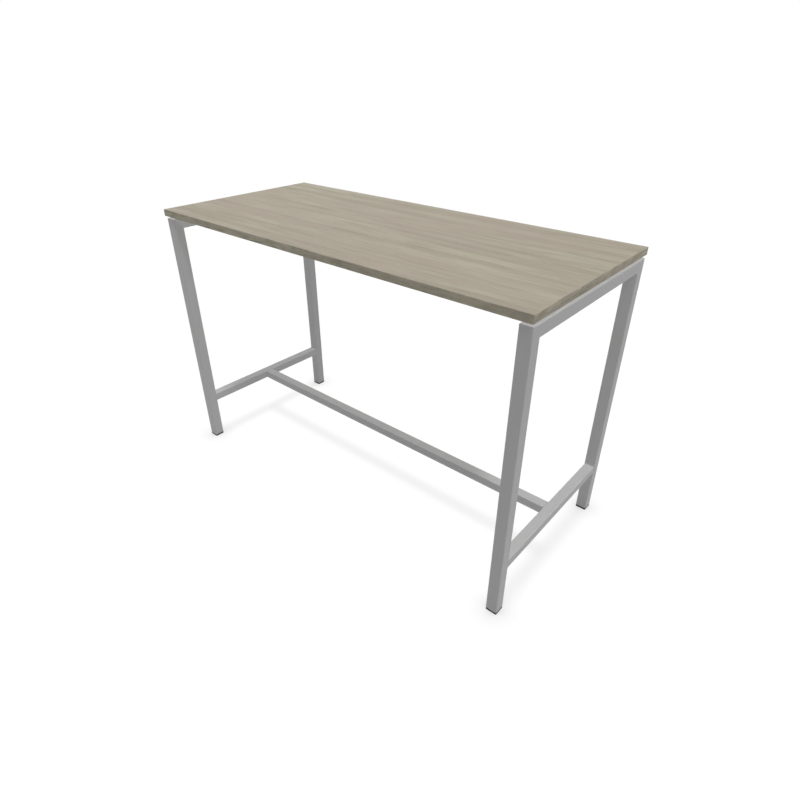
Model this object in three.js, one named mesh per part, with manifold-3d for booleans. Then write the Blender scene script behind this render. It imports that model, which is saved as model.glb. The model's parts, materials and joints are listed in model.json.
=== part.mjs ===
// A standing meeting table: a laminated board held clear of two welded end frames of square tube.
// A low stretcher and two beams under the board join the frames, and each leg has a levelling foot.
// Millimetres, +Z up. The origin lies on the floor under the middle of the board, +X runs along the
// board's length and -Y is the front.

import * as THREE from "three";
import { mergeVertices } from "three/addons/utils/BufferGeometryUtils.js";
import Module from "manifold-3d";

const wasm = await Module();
wasm.setup();

// The board and its edge strips
const TABLE_HEIGHT = 1045;
const TOP_LENGTH = 1600;
const TOP_WIDTH = 710;
const TOP_THICKNESS = 25;
const BAND_THICKNESS = 2;
const BAND_RADIUS = 1.5;

// The end frames: how far they stand in from the board's edges, their tube and the gap above them
const END_INSET = 1;
const SIDE_INSET = 7;
const LEG_SIDE = 40;
const LEG_WALL = 2;
const LEG_RADIUS = 3;
const BOARD_GAP = 9;
const WELD_GAP = 0.3;

// The tube of the foot rails and the stretcher, and the height of its upper face
const RAIL_WIDTH = 37;
const RAIL_HEIGHT = 34;
const RAIL_WALL = 2;
const RAIL_RADIUS = 3;
const RAIL_TOP = 215;

// The two beams under the board
const BEAM_WIDTH = 25;
const BEAM_HEIGHT = 40;
const BEAM_WALL = 2;
const BEAM_RADIUS = 2.5;
const BEAM_SPACING = 300;

// The stubs that the long tubes slide over, and the bolts that lock them from below
const SPIGOT_LENGTH = 60;
const SPIGOT_WALL = 4;
const SPIGOT_RADIUS = 1;
const SPIGOT_CLEARANCE = 0.4;
const BOLT_DIAMETER = 6;
const BOLT_LENGTH = 12;
const BOLT_HEAD_DIAMETER = 10.5;
const BOLT_HEAD_HEIGHT = 3.3;
const BOLT_SOCKET = 4;
const BOLT_SOCKET_DEPTH = 2;

// The spacers and screws that hold the board
const SPACER_DIAMETER = 18;
const SCREW_DIAMETER = 5;
const SCREW_LENGTH = 30;
const SCREW_HEAD_DIAMETER = 10;
const SCREW_HEAD_HEIGHT = 3;
const SCREW_POINT = 5;
const SCREW_SPACING_ON_RAIL = 400;
const SCREW_SPACING_ON_BEAM = 900;
const PILOT_SPARE = 1;
const ACCESS_CLEARANCE = 2;

// The levelling feet
const FLANGE_THICKNESS = 2.5;
const PLUG_DEPTH = 30;
const PLUG_RADIUS = 1;
const PLUG_CLEARANCE = 0.3;
const STEM_DIAMETER = 8;
const STEM_LENGTH = 42;
const STEM_CHAMFER = 1;
const STEM_SOCKET = 5;
const STEM_SOCKET_DEPTH = 4;
const COLLAR_DIAMETER = 14.4;
const COLLAR_HEIGHT = 1.6;
const PAD_FLOOR = 1.8;
const PAD_LIP = 0.7;
const PAD_LIP_REACH = 0.7;
const KEY_HOLE_DIAMETER = 7;

// Clearance round a shank in its hole, and of one foot piece to the next
const HOLE_CLEARANCE = 0.3;
const FOOT_CLEARANCE = 0.3;

// Smoothness of the faceted rounds, and the least radius inside a tube's corner
const ROUND_SIDES = 16;
const CORNER_STEPS = 2;
const LEAST_RADIUS = 0.5;
const HEXAGON_SIDES = 6;

// Levels and lines that the sizes above lead to
const PAD_THICKNESS = PAD_FLOOR + COLLAR_HEIGHT + 2 * FOOT_CLEARANCE + PAD_LIP;
const LEG_BOTTOM = PAD_THICKNESS + FOOT_CLEARANCE + FLANGE_THICKNESS;
const BOARD_BOTTOM = TABLE_HEIGHT - TOP_THICKNESS;
const FRAME_TOP = BOARD_BOTTOM - BOARD_GAP;
const FRAME_X = TOP_LENGTH / 2 - END_INSET - LEG_SIDE / 2;
const LEG_Y = TOP_WIDTH / 2 - SIDE_INSET - LEG_SIDE / 2;
const TOP_RAIL_Z = FRAME_TOP - LEG_SIDE / 2;
const FOOT_RAIL_Z = RAIL_TOP - RAIL_HEIGHT / 2;
const FOOT_RAIL_LENGTH = 2 * LEG_Y - LEG_SIDE;
const STRETCHER_LENGTH = 2 * FRAME_X - RAIL_WIDTH;
const BEAM_LENGTH = 2 * FRAME_X - LEG_SIDE;
const BEAM_Z = FRAME_TOP - BEAM_HEIGHT / 2;
const SCREW_HOLE = SCREW_DIAMETER + 2 * HOLE_CLEARANCE;
const ACCESS_HOLE = SCREW_HEAD_DIAMETER + 2 * ACCESS_CLEARANCE;
const BOLT_HOLE = BOLT_DIAMETER + 2 * HOLE_CLEARANCE;
const STEM_HOLE = STEM_DIAMETER + 2 * HOLE_CLEARANCE;

const ENDS = [["left", -1], ["right", 1]];
const SIDES = [["front", -1], ["rear", 1]];

// Surface finishes
const LAMINATE = { color: 0xa39c94, roughness: 0.6, metalness: 0 };
const EDGE_STRIP = { color: 0x8f8982, roughness: 0.55, metalness: 0 };
const POWDER_COAT = { color: 0xa9abac, roughness: 0.5, metalness: 0.2 };
const ZINC_STEEL = { color: 0xb9bcbd, roughness: 0.35, metalness: 0.9 };
const BLACK_PLASTIC = { color: 0x2f3031, roughness: 0.6, metalness: 0 };

function mesh(name, geometry, finish) {
  const piece = new THREE.Mesh(geometry, new THREE.MeshStandardMaterial(finish));
  piece.name = name;
  return piece;
}

function at(object, x, y, z) {
  object.position.set(x, y, z);
  return object;
}

// A closed surface as a solid that can be joined and cut.
function solid(geometry) {
  const bare = geometry.clone();
  bare.deleteAttribute("normal");
  bare.deleteAttribute("uv");
  const merged = mergeVertices(bare);
  return new wasm.Manifold(new wasm.Mesh({
    numProp: 3,
    vertProperties: merged.attributes.position.array,
    triVerts: new Uint32Array(merged.index.array),
  }));
}

function surface(body) {
  const { vertProperties, triVerts } = body.getMesh();
  const geometry = new THREE.BufferGeometry();
  geometry.setAttribute("position", new THREE.BufferAttribute(vertProperties, 3));
  geometry.setIndex(new THREE.BufferAttribute(triVerts, 1));
  const faceted = geometry.toNonIndexed();
  faceted.computeVertexNormals();
  return faceted;
}

function cut(geometry, cutters) {
  const body = cutters.reduce((rest, cutter) => rest.subtract(solid(cutter)), solid(geometry));
  return surface(body);
}

function common(first, second) {
  return surface(solid(first).intersect(solid(second)));
}

function roundedRectangle(width, height, radius) {
  const x = width / 2 - radius;
  const y = height / 2 - radius;
  const shape = new THREE.Shape();
  shape.absarc(x, y, radius, 0, Math.PI / 2);
  shape.absarc(-x, y, radius, Math.PI / 2, Math.PI);
  shape.absarc(-x, -y, radius, Math.PI, 1.5 * Math.PI);
  shape.absarc(x, -y, radius, 1.5 * Math.PI, 2 * Math.PI);
  return shape;
}

// A shape raised along Z between two levels.
function extrude(shape, from, to) {
  const settings = { depth: to - from, bevelEnabled: false, curveSegments: CORNER_STEPS };
  return new THREE.ExtrudeGeometry(shape, settings).translate(0, 0, from);
}

// A rectangular tube along Z with rounded edges, open at both ends.
function tube(width, height, wall, radius, from, to) {
  const inner = Math.max(radius - wall, LEAST_RADIUS);
  const shape = roundedRectangle(width, height, radius);
  shape.holes.push(roundedRectangle(width - 2 * wall, height - 2 * wall, inner));
  return extrude(shape, from, to);
}

// Turn a shape raised along Z so that it runs along X or Y, with its height upright.
function alongX(geometry) {
  return geometry.rotateZ(Math.PI / 2).rotateY(Math.PI / 2);
}

function alongY(geometry) {
  return geometry.rotateX(-Math.PI / 2);
}

// A round or hexagonal bar along Z between two levels, used as a drill.
function drill(diameter, from, to, x = 0, y = 0) {
  const bar = new THREE.CylinderGeometry(diameter / 2, diameter / 2, to - from, ROUND_SIDES);
  return bar.rotateX(Math.PI / 2).translate(x, y, (from + to) / 2);
}

function hexagonBar(acrossFlats, from, to) {
  const radius = acrossFlats / Math.sqrt(3);
  const bar = new THREE.CylinderGeometry(radius, radius, to - from, HEXAGON_SIDES);
  return bar.rotateX(Math.PI / 2).translate(0, 0, (from + to) / 2);
}

// A profile of radius and level pairs turned round Z.
function turned(profile) {
  const points = profile.map(([radius, level]) => new THREE.Vector2(radius, level));
  return new THREE.LatheGeometry(points, ROUND_SIDES).rotateX(Math.PI / 2);
}

// The places of the board's screws: two over each top rail and two over each beam.
function screwPlaces() {
  const places = [];
  for (const [end, x] of ENDS) {
    for (const [side, y] of SIDES) {
      places.push({
        name: `rail_${side}_${end}`,
        x: x * FRAME_X,
        y: (y * SCREW_SPACING_ON_RAIL) / 2,
        wall: LEG_WALL,
      });
      places.push({
        name: `beam_${side}_${end}`,
        x: (x * SCREW_SPACING_ON_BEAM) / 2,
        y: (y * BEAM_SPACING) / 2,
        wall: BEAM_WALL,
      });
    }
  }
  return places;
}

// How far a screw reaches into the board above the wall that its head bears on.
function screwDepth(wall) {
  return SCREW_LENGTH - wall - BOARD_GAP;
}

// The board, drilled from below for its screws. Its group lies on the board's lower face.
function topBoard() {
  const length = TOP_LENGTH - 2 * BAND_THICKNESS;
  const width = TOP_WIDTH - 2 * BAND_THICKNESS;
  const core = new THREE.BoxGeometry(length, width, TOP_THICKNESS).translate(0, 0, TOP_THICKNESS / 2);
  const holes = screwPlaces().map(({ x, y, wall }) => {
    return drill(SCREW_HOLE, -PILOT_SPARE, screwDepth(wall) + PILOT_SPARE, x, y);
  });
  return mesh("top_board", cut(core, holes), LAMINATE);
}

// The whole board's outline with its rounded edges, from which the edge strips are cut.
function boardEnvelope() {
  const middle = TOP_THICKNESS / 2;
  const alongLength = extrude(
    roundedRectangle(TOP_WIDTH, TOP_THICKNESS, BAND_RADIUS), -TOP_LENGTH / 2, TOP_LENGTH / 2);
  const alongWidth = extrude(
    roundedRectangle(TOP_LENGTH, TOP_THICKNESS, BAND_RADIUS), -TOP_WIDTH / 2, TOP_WIDTH / 2);
  return common(alongX(alongLength), alongY(alongWidth)).translate(0, 0, middle);
}

// The long strips cover the ends of the short ones.
function edgeBands() {
  const envelope = boardEnvelope();
  const tall = 2 * TOP_THICKNESS;
  const bands = [];
  for (const [side, y] of SIDES) {
    const block = new THREE.BoxGeometry(2 * TOP_LENGTH, BAND_THICKNESS, tall);
    block.translate(0, (y * (TOP_WIDTH - BAND_THICKNESS)) / 2, 0);
    bands.push(mesh(`edge_band_${side}`, common(envelope, block), EDGE_STRIP));
  }
  for (const [end, x] of ENDS) {
    const block = new THREE.BoxGeometry(BAND_THICKNESS, TOP_WIDTH - 2 * BAND_THICKNESS, tall);
    block.translate((x * (TOP_LENGTH - BAND_THICKNESS)) / 2, 0, 0);
    bands.push(mesh(`edge_band_${end}`, common(envelope, block), EDGE_STRIP));
  }
  return bands;
}

// A flat outline in Y and Z, wide enough along X to trim a frame tube.
function trimmer(points) {
  const shape = new THREE.Shape(points.map(([y, z]) => new THREE.Vector2(y, z)));
  return extrude(shape, -LEG_SIDE, LEG_SIDE).rotateZ(Math.PI / 2).rotateY(Math.PI / 2);
}

// A leg stands on its plug's flange. Its top is mitred to the top rail on the inner side.
function leg(side) {
  const length = FRAME_TOP - LEG_BOTTOM;
  const half = LEG_SIDE / 2;
  const drop = WELD_GAP / Math.sqrt(2);
  const post = tube(LEG_SIDE, LEG_SIDE, LEG_WALL, LEG_RADIUS, 0, length);
  const inner = -side;
  const outline = [
    [-inner * LEG_SIDE, -half],
    [-inner * LEG_SIDE, length + half - drop],
    [inner * LEG_SIDE, length - half - LEG_SIDE - drop],
    [inner * LEG_SIDE, -half],
  ];
  return common(post, trimmer(outline));
}

// A top rail runs between the outer faces of two legs, mitred at both ends and drilled for screws.
function topRail() {
  const half = LEG_SIDE / 2;
  const reach = LEG_Y + half;
  const drop = WELD_GAP / Math.sqrt(2);
  const bar = alongY(tube(LEG_SIDE, LEG_SIDE, LEG_WALL, LEG_RADIUS, -reach, reach));
  const upper = reach + half - drop;
  const lower = reach - LEG_SIDE - half - drop;
  const outline = [[-upper, LEG_SIDE], [-lower, -LEG_SIDE], [lower, -LEG_SIDE], [upper, LEG_SIDE]];
  const holes = SIDES.flatMap(([, y]) => {
    return screwHoles(LEG_SIDE, LEG_WALL, 0, (y * SCREW_SPACING_ON_RAIL) / 2);
  });
  return cut(common(bar, trimmer(outline)), holes);
}

// A screw hole in a tube's upper wall and the wider hole below it that lets the head in.
function screwHoles(height, wall, x, y) {
  const half = height / 2;
  return [
    drill(SCREW_HOLE, half - 2 * wall, half + wall, x, y),
    drill(ACCESS_HOLE, -half - wall, -half + 2 * wall, x, y),
  ];
}

function footRail() {
  const half = FOOT_RAIL_LENGTH / 2;
  return alongY(tube(RAIL_WIDTH, RAIL_HEIGHT, RAIL_WALL, RAIL_RADIUS, -half, half));
}

// The stub that a long tube slides over: it fits inside that tube and takes the bolt in its floor.
function spigot(tubeWidth, tubeHeight, tubeWall, end) {
  const width = tubeWidth - 2 * tubeWall - 2 * SPIGOT_CLEARANCE;
  const height = tubeHeight - 2 * tubeWall - 2 * SPIGOT_CLEARANCE;
  const half = SPIGOT_LENGTH / 2;
  const stub = alongX(tube(width, height, SPIGOT_WALL, SPIGOT_RADIUS, -half, half));
  const hole = drill(BOLT_HOLE, -height / 2 - SPIGOT_WALL, -height / 2 + 2 * SPIGOT_WALL);
  return cut(stub, [hole]).translate(-end * half, 0, 0);
}

// A long tube with a bolt hole below at each end.
function longTube(width, height, wall, radius, length, screws) {
  const half = length / 2;
  const bar = alongX(tube(width, height, wall, radius, -half, half));
  const boltHoles = ENDS.map(([, x]) => {
    return drill(BOLT_HOLE, -height / 2 - wall, -height / 2 + 2 * wall, x * (half - SPIGOT_LENGTH / 2), 0);
  });
  return cut(bar, [...boltHoles, ...screws]);
}

// A button-headed bolt, head down, with its seat at zero and a hexagon socket in the head.
function bolt() {
  const crown = BOLT_HEAD_DIAMETER / 2 - BOLT_HEAD_HEIGHT / 2;
  const body = turned([
    [0, -BOLT_HEAD_HEIGHT],
    [crown, -BOLT_HEAD_HEIGHT],
    [BOLT_HEAD_DIAMETER / 2, -BOLT_HEAD_HEIGHT / 3],
    [BOLT_HEAD_DIAMETER / 2, 0],
    [BOLT_DIAMETER / 2, 0],
    [BOLT_DIAMETER / 2, BOLT_LENGTH],
    [0, BOLT_LENGTH],
  ]);
  const floor = BOLT_SOCKET_DEPTH - BOLT_HEAD_HEIGHT;
  return cut(body, [hexagonBar(BOLT_SOCKET, -2 * BOLT_HEAD_HEIGHT, floor)]);
}

// A pan-headed board screw, head down, with its seat at zero and a pointed end.
function boardScrew() {
  const crown = SCREW_HEAD_DIAMETER / 2 - SCREW_HEAD_HEIGHT / 2;
  return turned([
    [0, -SCREW_HEAD_HEIGHT],
    [crown, -SCREW_HEAD_HEIGHT],
    [SCREW_HEAD_DIAMETER / 2, -SCREW_HEAD_HEIGHT / 3],
    [SCREW_HEAD_DIAMETER / 2, 0],
    [SCREW_DIAMETER / 2, 0],
    [SCREW_DIAMETER / 2, SCREW_LENGTH - SCREW_POINT],
    [0, SCREW_LENGTH],
  ]);
}

function spacer() {
  const inner = SCREW_HOLE / 2;
  const outer = SPACER_DIAMETER / 2;
  return turned([[inner, 0], [outer, 0], [outer, BOARD_GAP], [inner, BOARD_GAP], [inner, 0]]);
}

// The plug pressed into a leg: its flange lies under the leg's end, and its bore takes the stem.
function footPlug() {
  const flange = roundedRectangle(LEG_SIDE, LEG_SIDE, LEG_RADIUS);
  const plugSide = LEG_SIDE - 2 * LEG_WALL - 2 * PLUG_CLEARANCE;
  const core = extrude(roundedRectangle(plugSide, plugSide, PLUG_RADIUS), -FLANGE_THICKNESS / 2, PLUG_DEPTH);
  const joined = surface(solid(extrude(flange, -FLANGE_THICKNESS, 0)).add(solid(core)));
  const bore = drill(STEM_HOLE, -2 * FLANGE_THICKNESS, PLUG_DEPTH + FLANGE_THICKNESS);
  return cut(joined, [bore]);
}

// The threaded stem: a collar that snaps into the pad, with a key socket in its lower end.
function footStem() {
  const radius = STEM_DIAMETER / 2;
  const body = turned([
    [0, 0],
    [COLLAR_DIAMETER / 2, 0],
    [COLLAR_DIAMETER / 2, COLLAR_HEIGHT],
    [radius, COLLAR_HEIGHT],
    [radius, STEM_LENGTH - STEM_CHAMFER],
    [radius - STEM_CHAMFER, STEM_LENGTH],
    [0, STEM_LENGTH],
  ]);
  return cut(body, [hexagonBar(STEM_SOCKET, -STEM_SOCKET_DEPTH, STEM_SOCKET_DEPTH)]);
}

// The square pad: a recess under a lip holds the stem's collar, and a hole below lets the key in.
function footPad() {
  const plate = extrude(roundedRectangle(LEG_SIDE, LEG_SIDE, LEG_RADIUS), 0, PAD_THICKNESS);
  const recess = drill(COLLAR_DIAMETER + 2 * FOOT_CLEARANCE, PAD_FLOOR, PAD_THICKNESS - PAD_LIP);
  const mouth = drill(COLLAR_DIAMETER - 2 * PAD_LIP_REACH, PAD_FLOOR, PAD_THICKNESS + PAD_LIP);
  const keyHole = drill(KEY_HOLE_DIAMETER, -PAD_FLOOR, PAD_THICKNESS);
  return cut(plate, [recess, mouth, keyHole]);
}

// One levelling foot, with its origin on the floor under the middle of its leg.
function levellingFoot(place) {
  const foot = new THREE.Group();
  foot.add(at(mesh(`foot_plug_${place}`, footPlug(), BLACK_PLASTIC), 0, 0, LEG_BOTTOM));
  foot.add(at(mesh(`foot_stem_${place}`, footStem(), ZINC_STEEL), 0, 0, PAD_FLOOR + FOOT_CLEARANCE));
  foot.add(mesh(`foot_pad_${place}`, footPad(), BLACK_PLASTIC));
  return foot;
}

// One end frame, with its origin on the floor midway between its legs.
function endFrame(end, x) {
  const frame = new THREE.Group();
  for (const [side, y] of SIDES) {
    const place = `${side}_${end}`;
    const post = mesh(`leg_${place}`, leg(y), POWDER_COAT);
    frame.add(at(post, 0, y * LEG_Y, LEG_BOTTOM));
    frame.add(at(levellingFoot(place), 0, y * LEG_Y, 0));
    const beamStub = spigot(BEAM_WIDTH, BEAM_HEIGHT, BEAM_WALL, x);
    const beamSpigot = mesh(`spigot_beam_${place}`, beamStub, POWDER_COAT);
    frame.add(at(beamSpigot, (-x * LEG_SIDE) / 2, (y * BEAM_SPACING) / 2, BEAM_Z));
  }
  frame.add(at(mesh(`top_rail_${end}`, topRail(), POWDER_COAT), 0, 0, TOP_RAIL_Z));
  frame.add(at(mesh(`foot_rail_${end}`, footRail(), POWDER_COAT), 0, 0, FOOT_RAIL_Z));
  const stub = spigot(RAIL_WIDTH, RAIL_HEIGHT, RAIL_WALL, x);
  const railSpigot = mesh(`spigot_stretcher_${end}`, stub, POWDER_COAT);
  frame.add(at(railSpigot, (-x * RAIL_WIDTH) / 2, 0, FOOT_RAIL_Z));
  return frame;
}

// The stretcher and its bolts, with the origin at the middle of the tube.
function stretcher() {
  const assembly = new THREE.Group();
  const bar = longTube(RAIL_WIDTH, RAIL_HEIGHT, RAIL_WALL, RAIL_RADIUS, STRETCHER_LENGTH, []);
  assembly.add(mesh("stretcher", bar, POWDER_COAT));
  for (const [end, x] of ENDS) {
    const lock = mesh(`bolt_stretcher_${end}`, bolt(), ZINC_STEEL);
    assembly.add(at(lock, (x * (STRETCHER_LENGTH - SPIGOT_LENGTH)) / 2, 0, -RAIL_HEIGHT / 2));
  }
  return assembly;
}

// A beam and its bolts, with the origin at the middle of the tube.
function beam(side) {
  const assembly = new THREE.Group();
  const screws = ENDS.flatMap(([, x]) => {
    return screwHoles(BEAM_HEIGHT, BEAM_WALL, (x * SCREW_SPACING_ON_BEAM) / 2, 0);
  });
  const bar = longTube(BEAM_WIDTH, BEAM_HEIGHT, BEAM_WALL, BEAM_RADIUS, BEAM_LENGTH, screws);
  assembly.add(mesh(`beam_${side}`, bar, POWDER_COAT));
  for (const [end, x] of ENDS) {
    const lock = mesh(`bolt_beam_${side}_${end}`, bolt(), ZINC_STEEL);
    assembly.add(at(lock, (x * (BEAM_LENGTH - SPIGOT_LENGTH)) / 2, 0, -BEAM_HEIGHT / 2));
  }
  return assembly;
}

// The spacers on the frame and the screws that pass up through them, with the origin on the frame.
function boardFixings() {
  const fixings = new THREE.Group();
  for (const { name, x, y, wall } of screwPlaces()) {
    fixings.add(at(mesh(`spacer_${name}`, spacer(), BLACK_PLASTIC), x, y, 0));
    fixings.add(at(mesh(`board_screw_${name}`, boardScrew(), ZINC_STEEL), x, y, -wall));
  }
  return fixings;
}

const table = new THREE.Group();
for (const [end, x] of ENDS) {
  table.add(at(endFrame(end, x), x * FRAME_X, 0, 0));
}
table.add(at(stretcher(), 0, 0, FOOT_RAIL_Z));
for (const [side, y] of SIDES) {
  table.add(at(beam(side), 0, (y * BEAM_SPACING) / 2, BEAM_Z));
}
table.add(at(boardFixings(), 0, 0, FRAME_TOP));
const top = new THREE.Group();
top.add(topBoard(), ...edgeBands());
table.add(at(top, 0, 0, BOARD_BOTTOM));

export default table;
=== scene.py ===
import json
import math

import bmesh
import bpy
import numpy as np
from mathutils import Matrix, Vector

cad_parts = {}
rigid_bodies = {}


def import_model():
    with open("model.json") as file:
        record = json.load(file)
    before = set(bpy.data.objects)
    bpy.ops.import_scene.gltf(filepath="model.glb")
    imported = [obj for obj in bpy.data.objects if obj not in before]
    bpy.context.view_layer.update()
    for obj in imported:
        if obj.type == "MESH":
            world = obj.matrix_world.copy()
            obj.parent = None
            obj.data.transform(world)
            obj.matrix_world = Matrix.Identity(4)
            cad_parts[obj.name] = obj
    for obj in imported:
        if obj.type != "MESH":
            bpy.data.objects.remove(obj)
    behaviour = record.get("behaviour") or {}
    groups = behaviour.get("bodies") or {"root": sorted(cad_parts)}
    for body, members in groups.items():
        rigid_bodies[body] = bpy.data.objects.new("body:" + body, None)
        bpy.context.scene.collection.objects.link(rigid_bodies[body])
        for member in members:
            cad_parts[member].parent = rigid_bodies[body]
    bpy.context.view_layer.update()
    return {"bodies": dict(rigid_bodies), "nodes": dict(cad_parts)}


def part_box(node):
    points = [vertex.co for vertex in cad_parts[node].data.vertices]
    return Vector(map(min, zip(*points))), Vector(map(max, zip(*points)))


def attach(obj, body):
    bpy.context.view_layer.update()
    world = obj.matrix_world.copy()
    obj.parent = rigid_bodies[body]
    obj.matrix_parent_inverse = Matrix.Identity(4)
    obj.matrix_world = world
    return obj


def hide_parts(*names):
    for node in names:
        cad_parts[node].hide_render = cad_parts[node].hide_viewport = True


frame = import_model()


# The legs: four lengths of square steel tube with small round edges, one at each corner.
# Each is cut to a mitre at the top, welded to its top rail and ground flush there, and the
# whole end frame is powder coated in a silver grey.

PLACES = ("front_left", "rear_left", "front_right", "rear_right")
X, Y, Z = 0, 1, 2
MM = 0.001
FULL_TURN = 2 * math.pi
QUARTER_TURN = math.pi / 2
TUBE_WALL = 2 * MM
LEG_RADIUS = 3 * MM
CORNER_STEPS = 6
MERGE_DISTANCE = 0.0001 * MM
SHARP_ANGLE = math.radians(35)
COAT_LIGHT = (180, 180, 180)
COAT_DARK = (168, 168, 168)
PEEL_PER_METRE = 800
PEEL_DEPTH = 0.03 * MM
FLECKS_PER_METRE = 2200
COAT_CLOUDS_PER_METRE = 12
COAT_CLOUD_DETAIL = 3
COAT_LEAST_SHARE = 0.25
COAT_ROUGHNESS = (0.5, 0.64)
COAT_SPECULAR = 0.2
FIRST_COLOUR, SECOND_COLOUR, MIXED_COLOUR = 6, 7, 2


def outline(width, depth, radius, flat_steps=0):
    """A rectangle with round corners, anticlockwise. Each corner is its centre plus the radius times
    the cosine and sine of a quarter turn of angles, and points along each flat side share its length."""
    quarter = np.linspace(0, QUARTER_TURN, CORNER_STEPS + 1)
    angle = quarter + np.arange(4)[:, None] * QUARTER_TURN
    signs = np.array([[1, 1], [-1, 1], [-1, -1], [1, -1]])
    centres = signs * (np.array([width, depth]) / 2 - radius)
    arcs = centres[:, None] + radius * np.stack([np.cos(angle), np.sin(angle)], axis=-1)
    share = np.linspace(0, 1, flat_steps + 2)[1:-1, None]
    flats = arcs[:, -1:] * (1 - share) + np.roll(arcs, -1, axis=0)[:, :1] * share
    return np.concatenate([arcs, flats], axis=1).reshape(-1, 2)


def tube(low, high, axis, radius, ends):
    """A hollow tube that fills a box along one axis: the outer outline is carried from the first end
    to the last and the inner one back again. ends gives both ends' places for a ring of points, so
    an end can be square or cut to a mitre."""
    across = (axis + 1) % 3
    aside = (axis + 2) % 3
    middle = (low + high) / 2
    width, depth = (high - low)[[across, aside]]
    outer = outline(width, depth, radius)
    inner = outline(width - 2 * TUBE_WALL, depth - 2 * TUBE_WALL, radius - TUBE_WALL)
    rings = np.empty((4, len(outer), 3))
    rings[..., across] = middle[across] + np.stack([outer, outer, inner, inner])[..., 0]
    rings[..., aside] = middle[aside] + np.stack([outer, outer, inner, inner])[..., 1]
    first, last = ends(rings)
    rings[..., axis] = np.where(np.array([1, 0, 0, 1])[:, None], first, last)
    return rings


def shade(mesh):
    """Smooth shading, broken at the edges that turn by more than the sharp angle."""
    mesh.polygons.foreach_set("use_smooth", np.ones(len(mesh.polygons), dtype=bool))
    mesh.set_sharp_from_angle(angle=SHARP_ANGLE)


def skin(name, rings, closed):
    """Covers a stack of rings with faces: every point is joined to the next on its ring and to the same
    point of the next ring. A closed stack runs on from the last ring to the first, and an open one is
    closed at both ends by a fan from the middle of its end ring."""
    if not closed:
        ends = [np.broadcast_to(ring.mean(axis=0), ring.shape)[None] for ring in (rings[0], rings[-1])]
        rings = np.concatenate([ends[0], rings, ends[1]])
    stack, around = rings.shape[:2]
    ring = np.arange(stack if closed else stack - 1)[:, None]
    point = np.arange(around)[None, :]
    above = (ring + 1) % stack
    beside = (point + 1) % around
    lower_corners = (ring * around + point, ring * around + beside)
    upper_corners = (above * around + beside, above * around + point)
    faces = np.stack(lower_corners + upper_corners, axis=-1).reshape(-1, 4)
    mesh = bpy.data.meshes.new(name)
    mesh.from_pydata(rings.reshape(-1, 3).tolist(), [], faces.tolist())
    work = bmesh.new()
    work.from_mesh(mesh)
    bmesh.ops.remove_doubles(work, verts=work.verts, dist=MERGE_DISTANCE)
    work.to_mesh(mesh)
    work.free()
    shade(mesh)
    piece = bpy.data.objects.new(name, mesh)
    bpy.context.scene.collection.objects.link(piece)
    piece.modifiers.new("flat_faces", "WEIGHTED_NORMAL").keep_sharp = True
    return piece


def stands_for(piece, node_name, body, finish):
    """The piece takes the place of a node: it has the finish, hides the node and moves with the body."""
    piece.data.materials.append(finish)
    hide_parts(node_name)
    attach(piece, body)


def colour(red, green, blue):
    """The linear colour of a paint given by its screen values from 0 to 255: the standard screen curve."""
    share = np.array([red, green, blue]) / 255
    linear = np.where(share <= 0.04045, share / 12.92, ((share + 0.055) / 1.055) ** 2.4)
    return (*linear.tolist(), 1.0)


def node(tree, kind, inputs, **options):
    """Adds a shader node, sets its options, and sets or links its inputs by name or number."""
    made = tree.nodes.new(kind)
    for option, value in options.items():
        setattr(made, option, value)
    for socket, value in inputs.items():
        if isinstance(value, bpy.types.NodeSocket):
            tree.links.new(value, made.inputs[socket])
        else:
            made.inputs[socket].default_value = value
    return made


def new_finish(name):
    """A new material with its node tree, its surface shader and the piece's own coordinates in metres."""
    finish = bpy.data.materials.new(name)
    finish.use_nodes = True
    tree = finish.node_tree
    place = node(tree, "ShaderNodeTexCoord", {}).outputs["Object"]
    return finish, tree, tree.nodes["Principled BSDF"], place


def noise(tree, place, scale, detail=2.0):
    """A cloud of values about one half; scale is its humps to the metre."""
    inputs = {"Vector": place, "Scale": scale, "Detail": detail}
    return node(tree, "ShaderNodeTexNoise", inputs).outputs["Fac"]


def spread(tree, value, low, high, start=0.0, end=1.0):
    """Carries values from the span start to end over to the span low to high, and holds them there."""
    inputs = {"Value": value, "From Min": start, "From Max": end, "To Min": low, "To Max": high}
    return node(tree, "ShaderNodeMapRange", inputs).outputs["Result"]


def mixed(tree, share, first, second):
    """Goes from the first colour to the second as the share goes from nought to one."""
    inputs = {"Factor": share, FIRST_COLOUR: first, SECOND_COLOUR: second}
    return node(tree, "ShaderNodeMix", inputs, data_type="RGBA").outputs[MIXED_COLOUR]


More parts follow.
